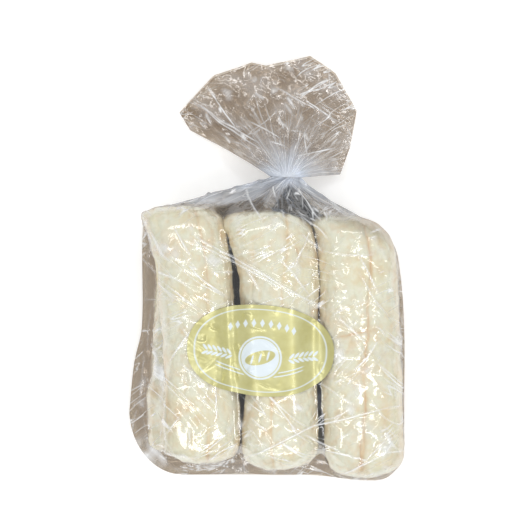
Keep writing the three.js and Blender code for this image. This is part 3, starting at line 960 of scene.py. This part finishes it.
def radial_folds(draw, count, starts, lengths, slopes, run_downs):
    """Folds that run straight out from the neck."""
    folds = []
    for _ in range(count):
        bearing = draw.uniform(MOUTH_CORNERS[-1][0] + 6, MOUTH_CORNERS[0][0] - 3)
        reach = draw.uniform(*starts)
        x = NECK[0] + reach * math.cos(math.radians(bearing))
        y = NECK[1] + reach * math.sin(math.radians(bearing))
        folds.append(random_fold(draw, x, y, bearing, 10, lengths, slopes, run_downs, 0.7, 4))
    return folds


def signed_side(points, line):
    run = line[-1] - line[0]
    return np.sign((points[:, 0] - line[0, 0]) * run[1] - (points[:, 1] - line[0, 1]) * run[0])


def folded(plan, folds, wander, width=0.65):
    """Folds with a sharp side and a flat facet down the other: their height, and the white painted glint on
    their crests.
    """
    relief, crease_glint = np.zeros(plan.shape[:-1]), np.zeros(plan.shape[:-1])
    moved = plan + wander
    for line, height, run_down, white in folds:
        margin = max(5 * SHARP_SIDE, run_down) + 2
        inside = (plan > line.min(axis=0) - margin) & (plan < line.max(axis=0) + margin)
        near = np.all(inside, axis=-1)
        if not near.any():
            continue
        away, along = distance_to_line(moved[near], line)
        easy = np.clip(1 - away / run_down, 0, 1)
        shape = np.where(signed_side(moved[near], line) > 0, easy, np.exp(-away / SHARP_SIDE))
        taper = 1 - np.abs(2 * along - 1) ** 2.2
        relief[near] = np.maximum(relief[near], height * taper * shape)
        taper = np.sqrt(np.clip(np.sin(np.pi * along), 0, 1))
        crease_glint[near] = np.maximum(crease_glint[near], bell(away, width) * taper * white)
    return relief, crease_glint


def crumple(plan, draw, count, sizes, slope, bareness=0.12):
    """Flat facets meeting in straight edges, in patches: the higher the bareness, the fewer they are."""
    noise = Noise(int(draw.integers(1, 10 ** 6)))
    flat = np.pad(plan, ((0, 0), (0, 0), (0, 1)))
    total = np.zeros(plan.shape[:-1])
    for k in range(count):
        angle, size = draw.uniform(0, np.pi), draw.uniform(*sizes)
        wave = plan @ np.array([math.cos(angle), math.sin(angle)]) / size
        wave = wave + noise(flat / (size * 5) + 7.7 * k) * 0.5
        edge = np.abs(wave - np.floor(wave) - 0.5) * 2
        window = ease(noise(flat / (size * 1.8) + 31.1 * k + 5), bareness, bareness + 0.28)
        total += window * (edge - 0.5) * size * slope / 2
    return total


def pleat_wave(turn, folds, phase):
    """Sharp crests round the gathered film: turn runs 0 to 1 once round."""
    return 1 - 2 * np.abs(np.sin(np.pi * folds * turn + phase))


# ---- The film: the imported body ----

TOP_SAG = 2.5  # how far the film may sink towards the bread, over the top and down the walls
WALL_SAG = 9
MOST_PUSH = 10  # the bread may push the film out of the hull this far
FILM_CLEARANCE = 0.7  # the film lies this far above the bread, and where a fold dips, at least half of it
LOWEST_FILM = 0.15
WHITEST_CREASE_GLINT = 0.95
SMOKE = 0.69  # tint of one sheet where no bread backs it
# Outlines of painted shadow on the film: a deep fold under the right of the neck, and a shallower one between
# two loaves' ends, which is also tinted brown.
PAINTED_SHADOW_FOLD = [(22, 85), (60, 47), (42, 42), (3, 55)]  # corners of the deep fold under the right of the neck
BROWN_SHADED_FOLD = [(-2, 71), (-2, 50), (-44, 42), (-54, 58)]  # and of a shallower one between two loaves' ends
SEARCH = 25  # how far in and out of the hull bread is looked for
SKY = 300  # rays straight down start here


def cast(tree, starts, direction, reach):
    """How far rays run from their starts before they meet a surface, or their reach where they meet none."""
    directions = np.broadcast_to(direction, starts.shape).reshape(-1, 3).tolist()
    runs = np.full(len(directions), float(reach))
    for i, (start, towards) in enumerate(zip(starts.reshape(-1, 3).tolist(), directions)):
        run = tree.ray_cast(Vector(start), Vector(towards), reach)[3]
        if run is not None:
            runs[i] = run
    return runs.reshape(starts.shape[:-1])


def heights_below(tree, x, y):
    """Height of the highest surface at each place in plan, -1 where there is none."""
    starts = np.stack([x, y, np.full(x.shape, SKY)], axis=-1)
    return SKY - cast(tree, starts, (0, 0, -1), SKY + 1)


def inside_corners(plan, corners):
    """1 inside a plan outline whose corners run clockwise, 0 outside, with a soft edge."""
    inside = np.ones(plan.shape[:-1])
    for start, end in zip(corners, corners[1:] + corners[:1]):
        run = np.array(end, float) - start
        off = (plan[..., 0] - start[0]) * run[1] - (plan[..., 1] - start[1]) * run[0]
        inside = inside * ease(off / np.hypot(*run), -1, 3)
    return inside


def smoothed(field, times, limit=np.inf):
    """A field over the ring grid, evened out, never above its limit."""
    for _ in range(times):
        around = (np.roll(field, 1, axis=1) + np.roll(field, -1, axis=1)) / 2
        padded = np.pad(field, ((1, 1), (0, 0)), mode="edge")
        along = (padded[:-2] + padded[2:]) / 2
        field = np.minimum(0.2 * field + 0.4 * around + 0.4 * along, limit)
    return field


def milk_near_neck(grid, noise):
    """How milky the film is: layers on layers close to the neck, in rays that run out from it."""
    x, y = grid[..., 0] - NECK[0], grid[..., 1] - NECK[1]
    reach = np.linalg.norm(grid - NECK, axis=-1)
    rays = 1 + 0.9 * noise(np.stack([np.arctan2(y, x) * 7, reach / 60, np.zeros_like(x)], axis=-1))
    left = ease(x, -5, -35) * ease(grid[..., 1], 56, 66)
    right = ease(x + 0.7 * y, 8, 16) * ease(grid[..., 1], 40, 56)
    shoulder = (0.42 * left + 0.26 * right) * (0.8 + 0.5 * noise(grid / 14)) * ease(y, 14, 2)
    return 0.60 * bell(reach, 21) + 0.20 * bell(reach, 42) * rays + shoulder + 0.008


def body_inward(rings, loose, topness, depth):
    """How far in the film is drawn from the hull onto the bread, before it is creased."""
    limit = depth - FILM_CLEARANCE
    inward = smoothed(np.minimum(limit, lerp(WALL_SAG, TOP_SAG, topness)), 45, limit)
    inward *= ease(rings[..., 1], NECK[1] - 12, SHOULDER_Y + 10) * ease(loose, 0.35, 0)
    # From the lower loaves' bellies the film runs straight out to the seam.
    return inward * lerp(0.25, 1, ease(rings[..., 2], SEAM_Z + SKIRT_RISE, SEAM_Z + 28))


def body_folds(rings, facing_up, loose, topness, noise):
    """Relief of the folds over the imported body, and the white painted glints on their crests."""
    x, y, z = np.moveaxis(rings, -1, 0)
    plan = rings[..., :2]
    wander = sway(noise, rings, 30, 1.2, (0, 60))
    draw = np.random.default_rng(7)
    main_relief, main_crease_glint = folded(plan, as_folds(TOP_FOLDS), wander)
    relief, crease_glint = folded(plan, scattered_folds(draw, TOP_SCATTER), wander)
    relief = np.maximum(relief, main_relief) + crumple(plan, draw, 3, (10, 18), 0.06, 0.34)
    crease_glint = np.maximum(crease_glint * topness, main_crease_glint * ease(facing_up, 0.02, 0.2))

    on_skirt = ease(loose, 0, 0.3)
    skirt_relief, skirt_crease_glint = folded(plan, scattered_folds(draw, SKIRT_SCATTER), wander, 0.6)
    relief = (relief + skirt_relief * on_skirt) * topness
    crease_glint = np.maximum(crease_glint, skirt_crease_glint * on_skirt * topness)

    # Walls and underside: folds that run up and down, found from height and the place round the pack.
    walls = np.stack([x + y, z], axis=-1)
    wall_relief, _ = folded(walls, scattered_folds(draw, WALL_SCATTER), wander)
    wall_relief += crumple(walls, draw, 5, (18, 44), 0.10)
    return relief + wall_relief * (1 - topness), crease_glint


def shoulder_pleats(rings, noise):
    """Relief of the pleats that run out from the neck."""
    columns = rings.shape[1]
    turn = np.arange(columns) / columns + noise(rings / 40 + 21) * 0.010
    near_neck = ease(rings[..., 1], 12, NECK[1] - 4)
    shrink = 1 - 0.55 * ease(rings[..., 1], NECK[1] - 16, NECK[1])
    pleats = pleat_wave(turn, 7, 0.4) * 3.0 * near_neck ** 1.6 * shrink
    pleats += pleat_wave(turn, 16, 1.9) * 1.5 * near_neck ** 3.2 * shrink
    return pleats + pleat_wave(turn, 37, 0.9) * 0.8 * near_neck ** 6


def body_numbers(grid, rings, loose, bread, noise):
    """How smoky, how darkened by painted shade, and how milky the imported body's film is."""
    x, y = grid[..., 0], grid[..., 1]
    heights = heights_below(bread, x, y)
    top_clear = smoothed((heights < TOP_BASE_Z).astype(float), 1)
    clear = lerp(smoothed((heights < 0).astype(float), 2), top_clear, ease(y, 38, 46))
    hem = 1 + 0.15 * ease(loose, 0.86, 0.97) * ease(y, 50, 20)
    ragged = grid[..., :2] + sway(noise, rings, 7, 2.5, (3, 50))
    painted_shadow_fold = inside_corners(ragged, PAINTED_SHADOW_FOLD) * top_clear
    brown_shaded_fold = inside_corners(ragged, BROWN_SHADED_FOLD) * top_clear
    # Painted shade: faint on the film past the loaves' neck ends, deep over the two shadowed folds.
    past_bread = clear * ease(y, 50, 60) * ease(x, -40, -10)
    # The film that slopes down past the right loaf's neck end hangs clear of its corner.
    corner = 0.45 * ease(y + 0.4 * (x - 59), 39, 56) * ease(x, 50, 75)
    return {
        "smoke": np.maximum(SMOKE * clear * hem + 0.8 * brown_shaded_fold, corner),
        "shade": np.maximum(0.16 * past_bread, 0.91 * painted_shadow_fold + 0.38 * brown_shaded_fold),
        "milk": milk_near_neck(grid, noise) * (1 - 0.78 * painted_shadow_fold - 0.85 * brown_shaded_fold),
    }


def film_body(bread):
    """The film over and round the loaves, drawn in onto them, creased, and pleated at the shoulders."""
    rings, stations, upper_columns = hull()
    noise = Noise(5)
    normals = np.stack([smoothed(part, 4) for part in np.moveaxis(grid_normals(rings), -1, 0)], axis=-1)
    normals /= np.linalg.norm(normals, axis=-1, keepdims=True)
    depth = cast(bread, rings + normals * SEARCH, -normals, 2 * SEARCH) - SEARCH
    topness = ease(normals[..., 2], 0.15, 0.7)
    y = stations[:, None]
    loose = 1 - np.minimum(past_skirts(rings[..., 0], y), past_sealed_skirt(y))  # 1 at the seam, 0 on bread
    inward = body_inward(rings, loose, topness, depth)
    relief, crease_glint = body_folds(rings, normals[..., 2], loose, topness, noise)
    relief += shoulder_pleats(rings, noise)

    # Where the rings crowd together there is no room for a fold.
    roomy = ease(np.linalg.norm(np.gradient(rings, axis=0), axis=-1), 0.15, 0.5)
    relief *= ease(loose, 1.0, 0.8) * ease(y, SEAL_Y, SEAL_Y + 3) * roomy
    crease_glint *= roomy * (0.9 + 0.4 * noise(rings / 9))
    inward = np.minimum(inward - relief, depth - FILM_CLEARANCE / 2)
    grid = rings - normals * np.maximum(inward, -MOST_PUSH)[..., None]
    grid[..., 2] = np.maximum(grid[..., 2], LOWEST_FILM)
    numbers = body_numbers(grid, rings, loose, bread, noise)
    return grid, upper_columns, {**numbers, "crease_glint": np.clip(crease_glint, 0, WHITEST_CREASE_GLINT)}


def make_film_body(bread, material):
    """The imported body's film in three pieces: two on top, by the seal and by the neck, and one below."""
    grid, upper_columns, numbers = film_body(bread)
    rows = grid.shape[0]
    top = np.arange(upper_columns)
    under = np.append(np.arange(upper_columns - 1, grid.shape[1]), 0)
    by_seal, by_neck, whole = np.arange(rows // 2 + 1), np.arange(rows // 2, rows), np.arange(rows)
    pieces = (("film_top_seal", by_seal, top), ("film_top_neck", by_neck, top), ("film_under", whole, under))
    for name, part_rows, columns in pieces:
        part = np.ix_(part_rows, columns)
        faces = grid_faces(len(part_rows), len(columns), around=False)
        values = {key: value[part] for key, value in numbers.items()}
        mesh_object(name, grid[part], faces, material, values, "bag")
    return grid[:, top], grid_faces(rows, len(top), around=False)


# ---- The film: the loose mouth ----

# Where the fan's left side gapes and a third sheet shows through.
MOUTH_WINDOWS = [  # x, y, bearing, half length, half width
    (-31, 138, -33, 27, 6.5),
    (-72, 158, -17, 15, 5),
]
LOWEST_MOUTH = 0.4
LEAST_GAP = 0.8  # between the mouth's two sheets


def rim_reach(bearing):
    """Reach of the mouth's rim at a bearing: straight from corner to corner."""
    bearing = np.radians(bearing)
    reach = np.zeros_like(bearing)
    for (from_bearing, near), (to_bearing, far) in zip(MOUTH_CORNERS, MOUTH_CORNERS[1:]):
        high, low = math.radians(from_bearing), math.radians(to_bearing)
        edge = near * far * math.sin(high - low)
        edge = edge / (near * np.sin(high - bearing) + far * np.sin(bearing - low))
        reach = np.where((bearing <= high) & (bearing >= low), edge, reach)
    return reach


def window_share(x, y, centre_x, centre_y, bearing, half_length, half_width):
    """1 where the mouth gapes, 0 outside."""
    along, aside = turned(x - centre_x, y - centre_y, math.radians(bearing))
    return bell(along, half_length, 4) * bell(aside, half_width, 6)


def mouth_pleats(across, out, round_part, shift):
    """Height of the pleats that fan out from the neck and fade on their way to the rim."""
    at = across + shift
    wave = pleat_wave(at, 5, 0.5) * 1.8 * out
    wave = wave + pleat_wave(at, 13, 1.3) * 2.0 * out ** 0.6 * ease(out, 0.95, 0.3)
    wave = wave + pleat_wave(at, 31, 0.2) * 1.5 * np.sqrt(out) * ease(out, 0.55, 0.15)
    return wave * round_part ** 0.5 * ease(out, 0, 0.06)


def mouth_folds(spot, draw, noise):
    """Relief of the folds and dents on the mouth's sheets, the white painted glints on their crests, and the
    dents.
    """
    plan = spot[..., :2]
    on_top = spot[..., 2] > 0
    wander = sway(noise, spot, 30, 2.2, (9, 80))
    folds = as_folds(MOUTH_FOLDS) + scattered_folds(draw, FAN_SCATTER)
    folds += radial_folds(draw, 46, (8, 60), (18, 60), (0.22, 0.42), (1.6, 3.4))
    folds += scattered_folds(draw, FAN_FACETS)
    glints = scattered_folds(draw, FAN_GLINTS)
    under_folds = radial_folds(draw, 30, (8, 60), (20, 70), (0.3, 0.6), (1.5, 3.5))
    relief, crease_glint = folded(plan, folds + glints, wander, 0.55)
    relief = np.where(on_top, relief, folded(plan, under_folds, wander)[0])
    crease_glint = np.maximum(crease_glint, folded(plan, glints, wander, 1.5)[1])
    crease_glint = np.where(on_top, crease_glint * (0.85 + 0.5 * noise(spot / 8 + 4)), 0)
    flashing = crumple(plan, draw, 4, (9, 20), 0.24, 0.08)
    dented = crumple(plan, draw, 5, (18, 42), 0.12, 0.0)
    return relief + flashing + dented, crease_glint, dented


def make_film_mouth(material):
    """The loose end of the bag past the neck: two sheets that fan out in pleats, joined along both sides."""
    per_sheet = int(FAN_WIDTH / FILM_STEP)
    share = np.linspace(0, 1, per_sheet + 1)
    out = np.linspace(0, 1, int(FAN_RUN / FILM_STEP) + 1)[:, None]
    across = np.concatenate([share, share[-2:0:-1]])
    upper = np.concatenate([np.ones(per_sheet + 1), -np.ones(per_sheet - 1)])
    out, across, upper = np.broadcast_arrays(out, across, upper)
    round_part = 2 * np.sqrt(np.clip(across * (1 - across), 0, None))  # 0 at both sides, 1 in the middle
    first, last = MOUTH_CORNERS[0][0], MOUTH_CORNERS[-1][0]
    bearing = np.clip(lerp(first, last, across), last, first)
    reach = rim_reach(bearing) * out * np.where(upper > 0, 1.0, 0.998)
    angle = np.radians(bearing)
    x = NECK[0] - NECK_HALF_WIDTH * (1 - 2 * across) * (1 - out) ** 2 + reach * np.cos(angle)
    y = NECK[1] + reach * np.sin(angle)

    noise = Noise(15)
    spot = np.stack([x, y, upper * 30], axis=-1)
    relief, crease_glint, dented = mouth_folds(spot, np.random.default_rng(19), noise)
    shift = noise(spot / 34) * 0.018 * out + np.where(upper > 0, 0, 0.031)
    z = lerp(NECK[2], MOUTH_RIM_Z, ease(out, 0, MOUTH_FALL_END))
    z = z + upper * round_part * lerp(NECK_HALF_HEIGHT, MOUTH_HALF_DEPTH, out)
    z = z + mouth_pleats(across, out, round_part, shift) + relief * upper * ease(out, 0.03, 0.2)
    z = np.maximum(z, LOWEST_MOUTH)
    z[:, 1:per_sheet] = np.maximum(z[:, 1:per_sheet], z[:, :per_sheet:-1] + LEAST_GAP)
    grid = np.stack([x, y, z], axis=-1)

    gaping = sum(window_share(x, y, *window) for window in MOUTH_WINDOWS)
    smoke = SMOKE * (1.04 + 0.10 * noise(spot / 40 + 3) - 0.10 * dented) + 0.24 * gaping
    numbers = {
        "smoke": smoke + 0.25 * ease(out, 0.975, 0.99),
        # Painted shade on the mouth, strongest at the neck.
        "shade": 0.28 * ease(out, 0.25, 0),
        "milk": milk_near_neck(grid, noise) + 0.07 * np.clip(dented, 0, 1),
        "crease_glint": np.clip(crease_glint, 0, WHITEST_CREASE_GLINT),
    }
    faces = grid_faces(*x.shape, around=True)
    mesh_object("film_mouth", grid, faces, material, numbers, "bag")


# ---- The label ----

LABEL_LIFT = 0.35
DISC_RADIUS = 21


def oval(a, b, across, up, half_long, half_high, turn):
    """1 inside an oval mark, 0 outside, with a soft edge of a few tenths of a millimetre."""
    along, aside = turned(a - across, b - up, turn)
    away = (np.hypot(along / half_long, aside / half_high) - 1) * min(half_long, half_high)
    return ease(away, 0.25, -0.25)


def cut_loaf(a, b):
    """1 on a slanting loaf with three cuts."""
    slant = math.radians(18)
    loaf = oval(a, b, 0, -7, 15, 6.5, slant)
    for k in (-1, 0, 1):
        across, up = 8 * k * math.cos(slant), -7 + 8 * k * math.sin(slant)
        loaf = loaf * (1 - oval(a, b, across, up, 1.0, 4.6, math.radians(-12)))
    return loaf


def sprigs(a, b):
    """1 on the leaves of two sprigs, one each side of the disc."""
    ink = np.zeros(a.shape)
    for mirror in (-1, 1):
        for k in range(6):
            across, up = mirror * (30.5 + 4.6 * k), -6 + 1.3 * k - 0.12 * k * k
            for lean in (-1, 1):
                turn = mirror * math.radians(12 + 38 * lean)
                ink = np.maximum(ink, oval(a, b, across, up + 2.6 * lean, 3.4, 1.2, turn))
    return ink


def label_print(a, b):
    """A plain bakery design: a border line, a disc with a cut loaf, leaf sprigs, and an arc of lozenges."""
    size = np.abs(a / LABEL_HALF_LENGTH) ** LABEL_FULLNESS + np.abs(b / LABEL_HALF_WIDTH) ** LABEL_FULLNESS
    off_border = np.abs(size ** (1 / LABEL_FULLNESS) - 0.9) * LABEL_HALF_WIDTH
    disc = np.hypot(a, b + 7)
    ink = np.maximum(0.85 * ease(off_border, 0.7, 0.25), ease(disc, DISC_RADIUS + 0.25, DISC_RADIUS - 0.25))
    ink = ink * ease(np.abs(disc - DISC_RADIUS + 2.2), 0.2, 0.7)
    ink = np.maximum(ink * (1 - cut_loaf(a, b)), sprigs(a, b))
    for k in range(-4, 5):
        turn = math.radians(90 - 9.5 * k)
        lozenge = np.abs(a - 50 * math.cos(turn)) / 2.4 + np.abs(b - 26.5 * math.sin(turn)) / 4.2
        ink = np.maximum(ink, ease(lozenge, 1.1, 0.85))
    for level in (-22, -25.5):
        sweep = ease(np.abs(b - level - 0.0052 * a * a), 0.75, 0.35) * ease(np.abs(a), 44, 40)
        ink = np.maximum(ink, sweep * ease(disc, DISC_RADIUS + 1.5, DISC_RADIUS + 2))
    return ink


def make_label(film_top):
    """An oval that lies on the film and follows its creases."""
    rings = int(LABEL_HALF_LENGTH / LABEL_STEP / 1.1)
    spokes = int(LABEL_GIRTH / LABEL_STEP / 1.2)
    share = np.linspace(0, 1, rings + 1)[1:, None]
    turn = np.linspace(0, 2 * np.pi, spokes, endpoint=False)
    cos, sin = np.cos(turn), np.sin(turn)
    grow = share / (np.abs(cos) ** LABEL_FULLNESS + np.abs(sin) ** LABEL_FULLNESS) ** (1 / LABEL_FULLNESS)
    a = np.append(0, LABEL_HALF_LENGTH * cos * grow)
    b = np.append(0, LABEL_HALF_WIDTH * sin * grow)
    x = LABEL_CENTRE[0] + a * math.cos(LABEL_TURN) - b * math.sin(LABEL_TURN)
    y = LABEL_CENTRE[1] + a * math.sin(LABEL_TURN) + b * math.cos(LABEL_TURN)
    z = heights_below(film_top, x, y) + LABEL_LIFT
    faces = [(0, 1 + i, 1 + (i + 1) % spokes) for i in range(spokes)]
    index = 1 + np.arange(rings * spokes).reshape(rings, spokes)
    beside = np.roll(index, -1, axis=1)
    faces += np.stack([index[:-1], index[1:], beside[1:], beside[:-1]], axis=-1).reshape(-1, 4).tolist()
    points, numbers = np.stack([x, y, z], axis=1), {"print": label_print(a, b)}
    mesh_object("label_print", points, faces, label_material(), numbers, "label")


# ---- Floor, light and camera ----

CAMERA_HEIGHT = 1460
CAMERA_OFF_CENTRE = (-2.4, 3.7)
VIEW_WIDTH = 530  # millimetres across the picture, at the height of the pack's middle
VIEW_LEVEL = 60
SENSOR = 36

# From here to the end, sizes are in metres.
FLOOR_HALF = 6.0
FLOOR_LEVEL = -0.0006
AIM_HEIGHT = 0.06
TUBE_LENGTH = 0.42
TUBE_WIDTH = 0.19
RING_RADIUS = 0.74
RING_HEIGHT = 1.30
RING_LIGHTS = [  # bearing, power
    (32, 1.4), (62, 1.3), (90, 0.9), (122, 1.15), (150, 1.2),
    (212, 1.4), (242, 1.55), (270, 1.5), (300, 2.0), (330, 2.1),
]
WORLD_STRENGTH = 0.55


def add_camera():
    low, high = CAD_BOX
    middle = (low + high) / 2
    data = bpy.data.cameras.new("camera")
    data.sensor_width = SENSOR
    data.lens = SENSOR * (CAMERA_HEIGHT - VIEW_LEVEL) / VIEW_WIDTH
    off_x, off_y = CAMERA_OFF_CENTRE
    scene.camera = add_object("camera", data)
    scene.camera.location = (middle.x + off_x * MM, middle.y + off_y * MM, CAMERA_HEIGHT * MM)


def add_tube(bearing, power):
    """An area light in the ring that faces the middle of the pack, its long side level."""
    angle = math.radians(bearing)
    place = Vector((RING_RADIUS * math.cos(angle), RING_RADIUS * math.sin(angle), RING_HEIGHT))
    data = bpy.data.lights.new(f"tube_{bearing}", "AREA")
    data.shape = "RECTANGLE"
    data.size, data.size_y = TUBE_LENGTH, TUBE_WIDTH
    data.energy = power
    light = add_object(data.name, data)
    light.location = place
    light.rotation_euler = (Vector((0, 0, AIM_HEIGHT)) - place).to_track_quat("-Z", "Y").to_euler()


def add_stage():
    mesh = bpy.data.meshes.new("floor")
    corners = [(x * FLOOR_HALF, y * FLOOR_HALF, FLOOR_LEVEL) for x, y in ((-1, -1), (1, -1), (1, 1), (-1, 1))]
    mesh.from_pydata(corners, [], [(0, 1, 2, 3)])
    mesh.materials.append(floor_material())
    floor = add_object("floor", mesh)

    world = bpy.data.worlds.new("studio")
    world.use_nodes = True
    background = world.node_tree.nodes["Background"].inputs
    background["Color"].default_value = (1.0, 1.0, 1.0, 1)
    background["Strength"].default_value = WORLD_STRENGTH
    scene.world = world
    # Short tubes in a ring round the line of sight, none of them straight across the loaves, so that
    # creases flash and the loaves' long sides don't.
    for bearing, power in RING_LIGHTS:
        add_tube(bearing, power)
    scene.view_settings.view_transform = "Standard"
    scene.cycles.transparent_max_bounces = 32


# ---- Put together ----

crust = crust_material()
bread = surface_tree([make_loaf(loaf, crust) for loaf in LOAVES])
film = film_material()
film_top = surface_tree([make_film_body(bread, film)])
make_film_mouth(film)
make_label(film_top)
add_stage()
add_camera()
